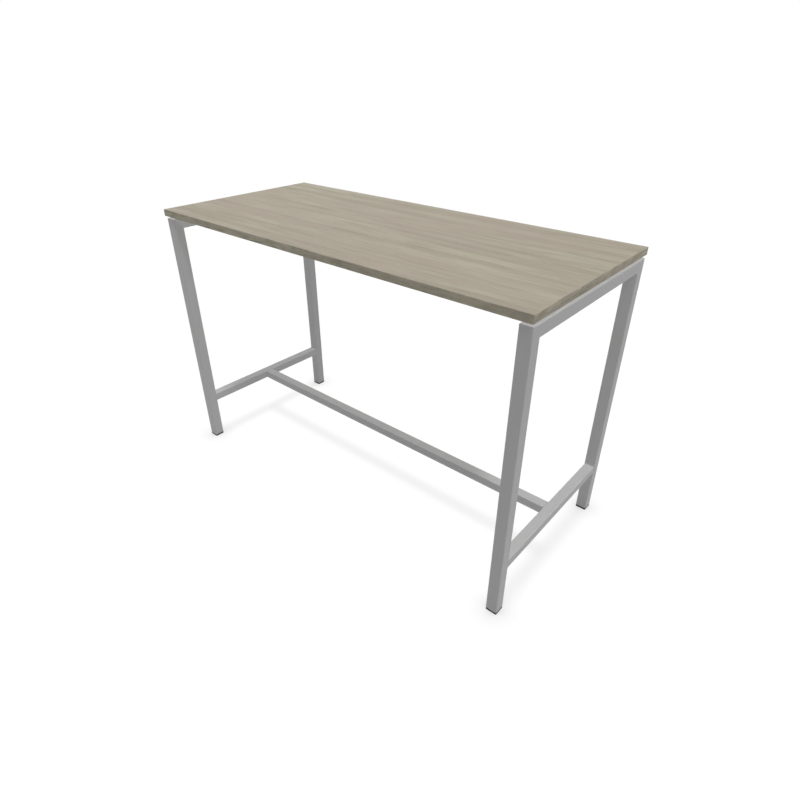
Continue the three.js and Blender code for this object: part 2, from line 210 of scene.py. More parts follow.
def powder_coat():
    """Grey powder coat: an orange-peel skin about a millimetre from hump to hump, fine pale flecks,
    and a faint cloudiness in the tone and the gloss."""
    finish, tree, surface, place = new_finish("grey_powder_coat")
    peel = noise(tree, place, PEEL_PER_METRE)
    cloud = noise(tree, place, COAT_CLOUDS_PER_METRE, COAT_CLOUD_DETAIL)
    cells = node(tree, "ShaderNodeTexVoronoi", {"Vector": place, "Scale": FLECKS_PER_METRE})
    fleck = node(tree, "ShaderNodeSeparateColor", {"Color": cells.outputs["Color"]}).outputs["Red"]
    tone_inputs = {0: fleck, 1: cloud, 2: COAT_LEAST_SHARE}
    tone = node(tree, "ShaderNodeMath", tone_inputs, operation="MULTIPLY_ADD").outputs[0]
    paint = mixed(tree, tone, colour(*COAT_DARK), colour(*COAT_LIGHT))
    bump = node(tree, "ShaderNodeBump", {"Height": peel, "Distance": PEEL_DEPTH})
    tree.links.new(paint, surface.inputs["Base Color"])
    tree.links.new(spread(tree, cloud, *COAT_ROUGHNESS), surface.inputs["Roughness"])
    tree.links.new(bump.outputs["Normal"], surface.inputs["Normal"])
    surface.inputs["Specular IOR Level"].default_value = COAT_SPECULAR
    return finish


coat = powder_coat()
for place in PLACES:
    row, side = place.split("_")
    low, high = np.array(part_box(f"leg_{place}"))
    frame_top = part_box(f"top_rail_{side}")[1].z
    outer_face = low[Y] if row == "front" else high[Y]
    rings = tube(
        low, high, Z, LEG_RADIUS,
        lambda ring: (low[Z], frame_top - abs(ring[..., Y] - outer_face)),
    )
    leg = skin(f"leg_{place}_tube", rings, closed=True)
    stands_for(leg, f"leg_{place}", "table", coat)


# The top rails: a square tube across each end of the table, mitred into the tops of two legs.
# The lower wall has a round hole under each board screw, for the screw's head and the driver.

SIDES = ("left", "right")
ROWS = ("front", "rear")
HOLE_RADIUS = 7 * MM
HOLE_SPARE = 1 * MM
ROUND_STEPS = 48
ROUND_ANGLES = np.linspace(0, FULL_TURN, ROUND_STEPS, endpoint=False)


def turned(*profile):
    """A turned shape: each radius and height of the profile becomes a circle of points about the Z axis."""
    radius, height = np.array(profile).T[:, :, None]
    circles = (radius * np.cos(ROUND_ANGLES), radius * np.sin(ROUND_ANGLES), height)
    return np.stack(np.broadcast_arrays(*circles), axis=-1)


def middle_on_floor(low, high):
    """The point on the floor under the middle of a box."""
    return (low + high) / 2 * (1, 1, 0)


def bore_lower_wall(piece, screws):
    """Cuts a round hole up through a tube's lower wall below each screw: a closed cylinder is taken away
    from the tube, and the piece keeps the mesh that is left."""
    wall_low = min(corner[Z] for corner in piece.bound_box)
    profile = ((HOLE_RADIUS, wall_low - HOLE_SPARE), (HOLE_RADIUS, wall_low + TUBE_WALL + HOLE_SPARE))
    cutters = []
    for screw in screws:
        low, high = np.array(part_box(screw))
        cutters.append(skin("cutter", turned(*profile) + middle_on_floor(low, high), closed=False))
        cut = piece.modifiers.new("hole", "BOOLEAN")
        cut.object = cutters[-1]
        cut.operation = "DIFFERENCE"
        cut.solver = "EXACT"
    piece.modifiers.remove(piece.modifiers["flat_faces"])
    whole = piece.data
    evaluated = piece.evaluated_get(bpy.context.evaluated_depsgraph_get())
    piece.data = bpy.data.meshes.new_from_object(evaluated)
    piece.modifiers.clear()
    bpy.data.meshes.remove(whole)
    for cutter in cutters:
        bpy.data.meshes.remove(cutter.data)
    piece.data.name = piece.name
    shade(piece.data)
    piece.modifiers.new("flat_faces", "WEIGHTED_NORMAL").keep_sharp = True


for side in SIDES:
    low, high = np.array(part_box(f"top_rail_{side}"))
    front_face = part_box(f"leg_front_{side}")[0].y
    rear_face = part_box(f"leg_rear_{side}")[1].y
    rings = tube(
        low, high, Y, LEG_RADIUS,
        lambda ring: (front_face + high[Z] - ring[..., Z], rear_face - high[Z] + ring[..., Z]),
    )
    rail = skin(f"top_rail_{side}_tube", rings, closed=True)
    bore_lower_wall(rail, [f"board_screw_rail_{row}_{side}" for row in ROWS])
    stands_for(rail, f"top_rail_{side}", "table", coat)


# The foot rails: a slightly slimmer tube between the two legs of each end, at shin height.
# A neat fillet weld runs round each end where the rail meets the leg, under the same coat.

RAIL_RADIUS = 3 * MM
BEAD_RADIUS = 1.3 * MM
BEAD_RIPPLE = 0.12
BEAD_PITCH = 2.6 * MM
BEAD_FLAT_STEPS = 60
BEAD_ROUND_STEPS = 12


def weld_bead(low, high, leg_face):
    """A weld bead: a round section carried along the rail's outline where it meets the leg. The section's
    radius swells and shrinks as a sine of the length along the outline, as the weld pool leaves it."""
    size = high - low
    path = outline(size[Z], size[X], RAIL_RADIUS, BEAD_FLAT_STEPS)
    step = np.roll(path, -1, axis=0) - path
    length = np.cumsum(np.hypot(*step.T))
    ripples = round(length[-1] / BEAD_PITCH)
    radius = BEAD_RADIUS * (1 + BEAD_RIPPLE * np.sin(FULL_TURN * ripples * length / length[-1]))
    along = np.roll(path, -1, axis=0) - np.roll(path, 1, axis=0)
    along = along / np.hypot(*along.T)[:, None]
    outward = np.stack([along[:, 1], -along[:, 0]], axis=-1)
    turn = np.linspace(0, FULL_TURN, BEAD_ROUND_STEPS, endpoint=False)[:, None]
    spot = path + (radius * np.cos(turn))[..., None] * outward
    rings = np.empty((BEAD_ROUND_STEPS, len(path), 3))
    rings[..., Z] = (low[Z] + high[Z]) / 2 + spot[..., 0]
    rings[..., X] = (low[X] + high[X]) / 2 + spot[..., 1]
    rings[..., Y] = leg_face + radius * np.sin(turn)
    return rings


for side in SIDES:
    low, high = np.array(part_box(f"foot_rail_{side}"))
    faces = {"front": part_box(f"leg_front_{side}")[1].y, "rear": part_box(f"leg_rear_{side}")[0].y}
    rings = tube(low, high, Y, RAIL_RADIUS, lambda ring: (faces["front"], faces["rear"]))
    rail = skin(f"foot_rail_{side}_tube", rings, closed=True)
    stands_for(rail, f"foot_rail_{side}", "table", coat)
    for row in ROWS:
        bead = skin(f"foot_rail_weld_{row}_{side}", weld_bead(low, high, faces[row]), closed=True)
        bead.data.materials.append(coat)
        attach(bead, "table")


# The spigots: short stubs of thick tube welded to the end frames, which the long tubes slide over.
# They are out of sight inside the tubes, so their solids stay as they are, under the frame's coat.

for name, cad in frame["nodes"].items():
    if name.startswith("spigot_"):
        cad.material_slots[0].material = coat


# The stretcher: one long tube from foot rail to foot rail, and the two beams that carry the board.
# They are cut square, coated apart from the frames and pushed over the spigots; the beams have holes
# for the board screws' heads.

BEAM_RADIUS = 2.5 * MM
for name, radius in (("stretcher", RAIL_RADIUS), ("beam_front", BEAM_RADIUS), ("beam_rear", BEAM_RADIUS)):
    low, high = np.array(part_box(name))
    rings = tube(low, high, X, radius, lambda ring: (low[X], high[X]))
    long_tube = skin(f"{name}_tube", rings, closed=True)
    if name != "stretcher":
        row = name.split("_")[1]
        bore_lower_wall(long_tube, [f"board_screw_beam_{row}_{side}" for side in SIDES])
    stands_for(long_tube, name, "table", coat)


# The bolts: button-head screws with a hexagon socket, put in from below, zinc plated.
# Each passes through the lower wall of a long tube and locks it on its spigot.

BOLT_HEAD_RADIUS = 5.25 * MM
BOLT_HEAD_HEIGHT = 3.3 * MM
BOLT_RADIUS = 3 * MM
BOLT_PITCH = 1 * MM
BOLT_SOCKET = 4 * MM
BOLT_SOCKET_DEPTH = 2 * MM
BOLT_POINT = 0.8 * MM
SOCKET_RIM = 0.66
DOME_SHARE = 0.8
DOME_STEPS = 7
THREAD_DEPTH = 0.6
THREAD_STEPS = 10
THREAD_STEEPNESS = 1.5
THREAD_CREST = 0.25
ZINC = (214, 217, 220)
ZINC_WARM = (204, 202, 194)
SPANGLES_PER_METRE = 900
SPANGLE_DETAIL = 3
SPANGLE_SPAN = (0.3, 0.7)
ZINC_ROUGHNESS = (0.25, 0.45)


def socket(across_flats, floor, mouth):
    """A hexagon socket that opens downwards: a hexagon at its floor and one at its mouth. The hexagon's
    radius is half its width across the flats, over the cosine of the angle from the middle of the
    nearest flat."""
    sixth = math.pi / 3
    from_flat = (ROUND_ANGLES + sixth / 2) % sixth - sixth / 2
    radius = across_flats / 2 / np.cos(from_flat)
    hexagon = np.column_stack([radius * np.cos(ROUND_ANGLES), radius * np.sin(ROUND_ANGLES)])
    return np.stack([np.column_stack([hexagon, np.full(ROUND_STEPS, z)]) for z in (floor, mouth)])


def thread(radius, pitch, low, high):
    """A right-handed screw thread. The place within the pitch is the height over the pitch less the share
    of a turn. The groove is a zigzag in that place, once down and up, cut off flat at the crest and the
    root, and its depth fades in and out over the first and the last pitch."""
    steps = round((high - low) / pitch * THREAD_STEPS) + 1
    height = np.linspace(low, high, steps)[:, None]
    place = (height / pitch - ROUND_ANGLES / FULL_TURN) % 1
    groove = np.clip(THREAD_STEEPNESS * abs(2 * place - 1) - THREAD_CREST, 0, 1)
    fade = np.clip(np.minimum(height - low, high - height) / pitch, 0, 1)
    reach = radius - THREAD_DEPTH * pitch * groove * fade
    circles = (reach * np.cos(ROUND_ANGLES), reach * np.sin(ROUND_ANGLES), height)
    return np.stack(np.broadcast_arrays(*circles), axis=-1)


def button_head(low, radius, height, across_flats, depth):
    """A domed screw head that looks down: its socket, then a quarter ellipse from the socket's rim out to
    the full radius, then a short straight edge."""
    rim = SOCKET_RIM * across_flats
    angle = np.linspace(0, QUARTER_TURN, DOME_STEPS)
    dome = np.stack([
        rim + (radius - rim) * np.sin(angle),
        low + DOME_SHARE * height * (1 - np.cos(angle)),
    ], axis=-1)
    return np.concatenate([
        socket(across_flats, low + depth, low),
        turned(*dome.tolist(), (radius, low + height)),
    ])


def zinc_steel():
    """Zinc plate: bright metal with a fine spangle of slightly warmer and duller spots."""
    finish, tree, surface, place = new_finish("zinc_plate")
    spangle = noise(tree, place, SPANGLES_PER_METRE, SPANGLE_DETAIL)
    paint = mixed(tree, spangle, colour(*ZINC), colour(*ZINC_WARM))
    tree.links.new(paint, surface.inputs["Base Color"])
    tree.links.new(spread(tree, spangle, *ZINC_ROUGHNESS, *SPANGLE_SPAN), surface.inputs["Roughness"])
    surface.inputs["Metallic"].default_value = 1.0
    return finish


zinc = zinc_steel()
bolt_names = [f"bolt_stretcher_{side}" for side in SIDES] + [f"bolt_beam_{place}" for place in PLACES]
for name in bolt_names:
    low, high = np.array(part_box(name))
    seat = low[Z] + BOLT_HEAD_HEIGHT
    rings = np.concatenate([
        button_head(low[Z], BOLT_HEAD_RADIUS, BOLT_HEAD_HEIGHT, BOLT_SOCKET, BOLT_SOCKET_DEPTH),
        thread(BOLT_RADIUS, BOLT_PITCH, seat, high[Z] - BOLT_POINT),
        turned((BOLT_RADIUS - BOLT_POINT, high[Z])),
    ])
    bolt = skin(f"{name}_screw", rings + middle_on_floor(low, high), closed=False)
    stands_for(bolt, name, "table", zinc)


# The foot plugs: black plastic, moulded as a square plug with a thin flange as wide as the leg.
# Each is pressed up into the leg's open end, and its bore carries the thread for the foot's stem.

PLUG_RADIUS = 1 * MM
FLANGE_THICKNESS = 2.5 * MM
PLUG_CLEARANCE = 0.3 * MM
PLUG_LEAD = 2 * MM
PLUG_BORE_RADIUS = 4.3 * MM
MOULD_EDGE = 0.4 * MM
MOULD_FLAT_STEPS = 8
PLASTIC_LIGHT = (27, 27, 28)
PLASTIC_DARK = (19, 19, 20)
MOULD_GRAIN_PER_METRE = 2600
MOULD_GRAIN_DEPTH = 0.03 * MM
MOULD_CLOUDS_PER_METRE = 60
MOULD_ROUGHNESS = (0.5, 0.7)
MOULD_SPECULAR = 0.2
FAR_SIDE = 2 * LEG_RADIUS + 1.0


def square_level(side, radius, height):
    """A square with round corners at one height."""
    points = outline(side, side, radius, MOULD_FLAT_STEPS)
    return np.column_stack([points, np.full(len(points), height)])


def round_level(radius, height):
    """A circle at one height, with a point for each point of a square level: the points of a very large
    square, each drawn in along its own direction to the radius."""
    points = outline(FAR_SIDE, FAR_SIDE, LEG_RADIUS, MOULD_FLAT_STEPS)
    points = points / np.hypot(*points.T)[:, None] * radius
    return np.column_stack([points, np.full(len(points), height)])


def moulded_plastic():
    """Black moulded plastic with a fine spark-eroded grain, a little dull on top of the grain."""
    finish, tree, surface, place = new_finish("black_moulded_plastic")
    grain = noise(tree, place, MOULD_GRAIN_PER_METRE)
    cloud = noise(tree, place, MOULD_CLOUDS_PER_METRE)
    paint = mixed(tree, cloud, colour(*PLASTIC_DARK), colour(*PLASTIC_LIGHT))
    bump = node(tree, "ShaderNodeBump", {"Height": grain, "Distance": MOULD_GRAIN_DEPTH})
    tree.links.new(paint, surface.inputs["Base Color"])
    tree.links.new(spread(tree, grain, *MOULD_ROUGHNESS), surface.inputs["Roughness"])
    tree.links.new(bump.outputs["Normal"], surface.inputs["Normal"])
    surface.inputs["Specular IOR Level"].default_value = MOULD_SPECULAR
    return finish


plastic = moulded_plastic()
for place in PLACES:
    low, high = np.array(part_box(f"foot_plug_{place}"))
    flange = high[X] - low[X]
    core = flange - 2 * TUBE_WALL - 2 * PLUG_CLEARANCE
    seat = low[Z] + FLANGE_THICKNESS
    rings = np.stack([
        square_level(flange - 2 * MOULD_EDGE, LEG_RADIUS - MOULD_EDGE, low[Z]),
        square_level(flange, LEG_RADIUS, low[Z] + MOULD_EDGE),
        square_level(flange, LEG_RADIUS, seat),
        square_level(core, PLUG_RADIUS, seat),
        square_level(core, PLUG_RADIUS, high[Z] - PLUG_LEAD),
        square_level(core - PLUG_LEAD, PLUG_RADIUS, high[Z]),
        round_level(PLUG_BORE_RADIUS + MOULD_EDGE, high[Z]),
        round_level(PLUG_BORE_RADIUS, high[Z] - MOULD_EDGE),
        round_level(PLUG_BORE_RADIUS, low[Z] + MOULD_EDGE),
        round_level(PLUG_BORE_RADIUS + MOULD_EDGE, low[Z]),
    ])
    plug = skin(f"foot_plug_{place}_moulding", rings + middle_on_floor(low, high), closed=True)
    stands_for(plug, f"foot_plug_{place}", "table", plastic)


# The foot stems: zinc-plated steel screws with a flat collar and a hexagon socket at the lower end.
# A key from below turns the stem in its plug, which raises or lowers the pad held on the collar.

STEM_RADIUS = 4 * MM
STEM_PITCH = 1.25 * MM
STEM_POINT = 1 * MM
STEM_SOCKET = 5 * MM
STEM_SOCKET_DEPTH = 4 * MM
COLLAR_RADIUS = 7.2 * MM
COLLAR_THICKNESS = 1.6 * MM
COLLAR_EDGE = 0.3 * MM
for place in PLACES:
    low, high = np.array(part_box(f"foot_stem_{place}"))
    collar_top = low[Z] + COLLAR_THICKNESS
    rings = np.concatenate([
        socket(STEM_SOCKET, low[Z] + STEM_SOCKET_DEPTH, low[Z]),
        turned(
            (COLLAR_RADIUS - COLLAR_EDGE, low[Z]),
            (COLLAR_RADIUS, low[Z] + COLLAR_EDGE),
            (COLLAR_RADIUS, collar_top - COLLAR_EDGE),
            (COLLAR_RADIUS - COLLAR_EDGE, collar_top),
        ),
        thread(STEM_RADIUS, STEM_PITCH, collar_top, high[Z] - STEM_POINT),
        turned((STEM_RADIUS - STEM_POINT, high[Z])),
    ])
    stem = skin(f"foot_stem_{place}_screw", rings + middle_on_floor(low, high), closed=False)
    stands_for(stem, f"foot_stem_{place}", f"stem_{place}", zinc)


# The foot pads: thin black plastic squares as wide as the leg, clipped over the stem's collar.
# The key hole in the middle shows from below, with three shallow grip grooves round it.

PAD_FLOOR = 1.8 * MM
PAD_LIP = 0.7 * MM
PAD_RECESS_RADIUS = 7.5 * MM
PAD_MOUTH_RADIUS = 6.5 * MM
KEY_HOLE_RADIUS = 3.5 * MM
PAD_EDGE = 0.4 * MM
GROOVE_RADII = (7.5 * MM, 11 * MM, 14.5 * MM)
GROOVE_DEPTH = 0.5 * MM
GROOVE_WIDTH = 1.4 * MM
for place in PLACES:
    low, high = np.array(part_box(f"foot_pad_{place}"))
    side = high[X] - low[X]
    lip_low = high[Z] - PAD_LIP
    levels = [
        square_level(side - 2 * PAD_EDGE, LEG_RADIUS - PAD_EDGE, low[Z]),
        square_level(side, LEG_RADIUS, low[Z] + PAD_EDGE),
        square_level(side, LEG_RADIUS, high[Z] - MOULD_EDGE),
        square_level(side - 2 * MOULD_EDGE, LEG_RADIUS - MOULD_EDGE, high[Z]),
        round_level(PAD_MOUTH_RADIUS, high[Z]),
        round_level(PAD_MOUTH_RADIUS, lip_low),
        round_level(PAD_RECESS_RADIUS, lip_low),
        round_level(PAD_RECESS_RADIUS, low[Z] + PAD_FLOOR),
        round_level(KEY_HOLE_RADIUS, low[Z] + PAD_FLOOR),
        round_level(KEY_HOLE_RADIUS, low[Z] + MOULD_EDGE),
        round_level(KEY_HOLE_RADIUS + MOULD_EDGE, low[Z]),
    ]
    for radius in GROOVE_RADII:
        levels.append(round_level(radius - GROOVE_WIDTH / 2, low[Z]))
        levels.append(round_level(radius - GROOVE_WIDTH / 4, low[Z] + GROOVE_DEPTH))
        levels.append(round_level(radius + GROOVE_WIDTH / 4, low[Z] + GROOVE_DEPTH))
        levels.append(round_level(radius + GROOVE_WIDTH / 2, low[Z]))
    rings = np.stack(levels) + middle_on_floor(low, high)
    pad = skin(f"foot_pad_{place}_moulding", rings, closed=True)
    stands_for(pad, f"foot_pad_{place}", f"pad_{place}", plastic)


# The spacers: turned collars between the frame and the board, which leave the shadow gap open.
# A board screw passes through each of them. They are coated with the frame.

SPACER_BORE_RADIUS = 2.8 * MM
SPACER_EDGE = 0.5 * MM
seats = [f"rail_{place}" for place in PLACES] + [f"beam_{place}" for place in PLACES]
for seat in seats:
    low, high = np.array(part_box(f"spacer_{seat}"))
    radius = (high[X] - low[X]) / 2
    rings = turned(
        (radius - SPACER_EDGE, low[Z]),
        (radius, low[Z] + SPACER_EDGE),
        (radius, high[Z] - SPACER_EDGE),
        (radius - SPACER_EDGE, high[Z]),
        (SPACER_BORE_RADIUS, high[Z]),
        (SPACER_BORE_RADIUS, low[Z]),
    )
    spacer = skin(f"spacer_{seat}_collar", rings + middle_on_floor(low, high), closed=True)
    stands_for(spacer, f"spacer_{seat}", "table", coat)


# The board screws: zinc-plated chipboard screws with a low domed head, driven up from below.
# The head sits inside the tube on its upper wall, and the coarse thread holds in the board.

SCREW_HEAD_RADIUS = 5 * MM
SCREW_HEAD_HEIGHT = 3 * MM
SCREW_RADIUS = 2.5 * MM
SCREW_PITCH = 1.8 * MM
SCREW_POINT = 5 * MM
SCREW_TIP_RADIUS = 0.3 * MM
SCREW_SOCKET = 3 * MM
SCREW_SOCKET_DEPTH = 1.8 * MM
for seat in seats:
    low, high = np.array(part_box(f"board_screw_{seat}"))
    rings = np.concatenate([
        button_head(low[Z], SCREW_HEAD_RADIUS, SCREW_HEAD_HEIGHT, SCREW_SOCKET, SCREW_SOCKET_DEPTH),
        thread(SCREW_RADIUS, SCREW_PITCH, low[Z] + SCREW_HEAD_HEIGHT, high[Z] - SCREW_POINT),
        turned((SCREW_TIP_RADIUS, high[Z])),
    ])
    screw = skin(f"board_screw_{seat}_screw", rings + middle_on_floor(low, high), closed=False)
    stands_for(screw, f"board_screw_{seat}", "table", zinc)


# The board: chipboard with a printed oak laminate pressed on both faces, grain along the length.
# Its edges are broken by a hair where the strips are glued on, which leaves a fine joint line.

BOARD_EDGE = 0.15 * MM
BOARD_CORNER = 0.3 * MM
OAK_LIGHT = (180, 174, 157)
OAK_DARK = (146, 140, 124)
OAK_BLUSH = (165, 153, 141)
OAK_PORE = (117, 108, 95)
OAK_PACE = 1.0
OAK_PORE_DEPTH = 0.02 * MM
OAK_NOISE_ROUGHNESS = 0.55
OAK_SWAY = (1.0, 3.0, 1.0)
OAK_SWAY_REACH = (0, 18 * MM, 18 * MM)
OAK_FIGURE = {
    "band": {"humps": (0.4, 21.0, 2.0), "span": (0.38, 0.58), "weight": 0.15},
    "patch": {"humps": (5.0, 30.0, 2.0), "span": (0.36, 0.64), "weight": 0.14},
    "dash": {"humps": (5.0, 150.0, 1.0), "span": (0.4, 0.6), "weight": 0.14},
    "fibre": {"humps": (12.0, 600.0, 2.0), "span": (0.0, 1.0), "weight": 0.1},
}
OAK_TONE_SPAN = (0.035, 0.505)
OAK_BLUSH_HUMPS = (1.5, 9.0, 2.0)
OAK_BLUSH_SPAN = (0.36, 0.64)
OAK_BLUSH_MOST = 0.6
OAK_PORE_HUMPS = (36.0, 1500.0, 1.0)
OAK_PORE_SPAN = (0.6, 0.72)
OAK_PORE_MOST = 0.35
OAK_ROUGHNESS = (0.6, 0.75)
OAK_SPECULAR = 0.1


def oak_decor(name, turn, pace, pore_depth, light, dark, blush):
    """Printed oak: grain along X, or turned about Z. Noise that is drawn out along the grain gives, from
    coarse to fine, growth bands, patches, dashes, fibres and pores, on coordinates that a slow noise sways
    a little across the grain. A higher pace makes all of them shorter along the grain."""
    finish, tree, surface, place = new_finish(name)
    grain = node(tree, "ShaderNodeMapping", {"Vector": place, "Rotation": (0, 0, turn)}).outputs[0]

    def layer(start, along, across, detail):
        """Noise with so many humps to the metre along and across the grain."""
        scale = (along * pace, across, across)
        drawn = node(tree, "ShaderNodeMapping", {"Vector": start, "Scale": scale}).outputs[0]
        inputs = {"Vector": drawn, "Scale": 1.0, "Detail": detail, "Roughness": OAK_NOISE_ROUGHNESS}
        return node(tree, "ShaderNodeTexNoise", inputs).outputs

    sway_inputs = {0: layer(grain, *OAK_SWAY)["Color"], 1: OAK_SWAY_REACH, 2: grain}
    swayed = node(tree, "ShaderNodeVectorMath", sway_inputs, operation="MULTIPLY_ADD").outputs[0]
    drawn = {}
    tone = 0.0
    for kind, figure in OAK_FIGURE.items():
        drawn[kind] = spread(tree, layer(swayed, *figure["humps"])["Fac"], 0.0, 1.0, *figure["span"])
        sum_inputs = {0: drawn[kind], 1: figure["weight"], 2: tone}
        tone = node(tree, "ShaderNodeMath", sum_inputs, operation="MULTIPLY_ADD").outputs[0]
    blush_noise = layer(swayed, *OAK_BLUSH_HUMPS)["Fac"]
    blush_share = spread(tree, blush_noise, 0.0, OAK_BLUSH_MOST, *OAK_BLUSH_SPAN)
    pore = spread(tree, layer(swayed, *OAK_PORE_HUMPS)["Fac"], 0.0, 1.0, *OAK_PORE_SPAN)

    tone_share = spread(tree, tone, 0.0, 1.0, *OAK_TONE_SPAN)
    wood = mixed(tree, tone_share, colour(*dark), colour(*light))
    blushed = mixed(tree, blush_share, wood, colour(*blush))
    pored = mixed(tree, spread(tree, pore, 0.0, OAK_PORE_MOST), blushed, colour(*OAK_PORE))
    height = node(tree, "ShaderNodeMath", {0: drawn["fibre"], 1: pore}, operation="SUBTRACT").outputs[0]
    bump = node(tree, "ShaderNodeBump", {"Height": height, "Distance": pore_depth})
    tree.links.new(pored, surface.inputs["Base Color"])
    tree.links.new(spread(tree, pore, *OAK_ROUGHNESS), surface.inputs["Roughness"])
    tree.links.new(bump.outputs["Normal"], surface.inputs["Normal"])
    surface.inputs["Specular IOR Level"].default_value = OAK_SPECULAR
    return finish


laminate = oak_decor("oak_laminate", 0.0, OAK_PACE, OAK_PORE_DEPTH, OAK_LIGHT, OAK_DARK, OAK_BLUSH)
low, high = np.array(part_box("top_board"))
length, width = (high - low)[:2]
insets = (BOARD_EDGE, 0, 0, BOARD_EDGE)
heights = (low[Z], low[Z] + BOARD_EDGE, high[Z] - BOARD_EDGE, high[Z])
board_levels = []
for inset, height in zip(insets, heights):
    points = outline(length - 2 * inset, width - 2 * inset, BOARD_CORNER)
    board_levels.append(np.column_stack([points, np.full(len(points), height)]))
board = skin("top_board_panel", np.stack(board_levels), closed=False)
stands_for(board, "top_board", "table", laminate)


# The edge strips: plastic strips with the same printed oak, glued round the board, grain along each.
# Their outer edges are milled round, and the long strips cover the ends of the short ones.

STRIP_RADIUS = 1.5 * MM
STRIP_CORNER = 1.4 * MM
STRIP_STEPS = 6
STRIP_LIGHT = (181, 176, 157)
STRIP_DARK = (114, 108, 97)
STRIP_BLUSH = (160, 152, 138)
STRIP_PACE = 4.0
STRIP_PORE_DEPTH = 0.015 * MM


def edge_strip(half_length, outer, inner, low, high, rounded_ends):
    """An edge strip along X on the front side: rectangles stacked in height. Near the lower and the upper
    face they are drawn in by a quarter circle, on the outer side and also at ends that show. The
    outer corners of such ends are quarter circles too, no larger than the strip is thick at that height."""
    angle = np.linspace(0, QUARTER_TURN, STRIP_STEPS + 1)
    draw_in = STRIP_RADIUS * (1 - np.sin(angle))
    rise = STRIP_RADIUS * (1 - np.cos(angle))
    inset = np.concatenate([draw_in, draw_in[::-1]])
    height = np.concatenate([low + rise, high - rise[::-1]])
    front = -outer + inset
    end = half_length - inset * rounded_ends
    corner = np.minimum(STRIP_CORNER, outer - inner - inset) * rounded_ends
    round_along = end - corner * (1 - np.cos(angle[:, None]))
    round_across = front + corner * (1 - np.sin(angle[:, None]))
    back = np.full_like(front, -inner)
    along = np.concatenate([[-end], -round_along, round_along[::-1], [end]])
    across = np.concatenate([[back], round_across, round_across[::-1], [back]])
    return np.stack([along, across, np.broadcast_to(height, along.shape)], axis=-1).transpose(1, 0, 2)


strip_finishes = {}
for name, turn in (("long", 0.0), ("short", QUARTER_TURN)):
    strip_finishes[name] = oak_decor(
        f"oak_edge_strip_{name}", turn, STRIP_PACE, STRIP_PORE_DEPTH, STRIP_LIGHT, STRIP_DARK, STRIP_BLUSH,
    )
half_board = np.array(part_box("top_board")[1])
for quarter, name in enumerate(("front", "right", "rear", "left")):
    low, high = np.array(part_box(f"edge_band_{name}"))
    is_long = name in ROWS
    along, outward = (X, Y) if is_long else (Y, X)
    outer = max(abs(low[outward]), abs(high[outward]))
    rings = edge_strip(high[along], outer, half_board[outward], low[Z], high[Z], is_long)
    cosine = round(math.cos(quarter * QUARTER_TURN))
    sine = round(math.sin(quarter * QUARTER_TURN))
    rings = rings @ np.array([[cosine, sine, 0], [-sine, cosine, 0], [0, 0, 1]])
    strip = skin(f"edge_band_{name}_strip", rings, closed=False)
    finish = strip_finishes["long" if is_long else "short"]
    stands_for(strip, f"edge_band_{name}", "table", finish)


# The studio: a white floor under the lowest pad, soft lamps and a pale sky. The fill lamps cast no shadow.
# The floor has a lamp of its own, straight above, which only the pieces near it shade. The top rails have
# a twin of the key lamp that nothing shades, so that the gap under the board stays light.

FLOOR_HALF = 20.0
FLOOR_CLEARANCE = 0.2 * MM
FLOOR_BOUNCE = 0.35
FLOOR_CATCH = 0.19
FLOOR_LIGHT = (0.0, 0.0, 0.94)
FLOOR_LAMP_ANGLE = 21.0
SHADOW_REACH = 0.3
# Painted contact shade on the floor: an occlusion test dims the floor's glow within this reach of a piece,
# by up to this depth.
CONTACT_REACH = 0.07
CONTACT_SHADE_DEPTH = 0.3
CONTACT_SAMPLES = 8
KEY_LIGHT = (0.099, -0.044, 0.25)
KEY_ANGLE = 8.6
FILL_LIGHTS = {
    "overhead_lamp": (0.0, 0.0, 0.525),
    "right_lamp": (0.232, -0.075, 0.1),
    "left_front_lamp": (-0.14, -0.14, 0.0),
    "left_rear_lamp": (-0.13, 0.15, 0.0),
    "right_rear_lamp": (0.1, 0.1, 0.0),
}
FILL_ANGLE = 30.0
NEAR_LAMP_PLACE = (-1.6, -2.2, 0.6)
NEAR_LAMP_WATTS = 17.8
NEAR_LAMP_SIZE = 0.3
SKY_STRENGTH = 0.7
SKY_SIDE = 0.2
FIRST_NUMBER, SECOND_NUMBER = 2, 3


def seen_directly(tree):
    """One for the rays that show the background itself, straight or in metal and glass, and else nought."""
    path = node(tree, "ShaderNodeLightPath", {})
    mirrored = node(tree, "ShaderNodeMath", {
        0: path.outputs["Is Camera Ray"], 1: path.outputs["Is Glossy Ray"],
    }, operation="MAXIMUM")
    return node(tree, "ShaderNodeMath", {
        0: mirrored.outputs[0], 1: path.outputs["Is Transmission Ray"],
    }, operation="MAXIMUM").outputs[0]


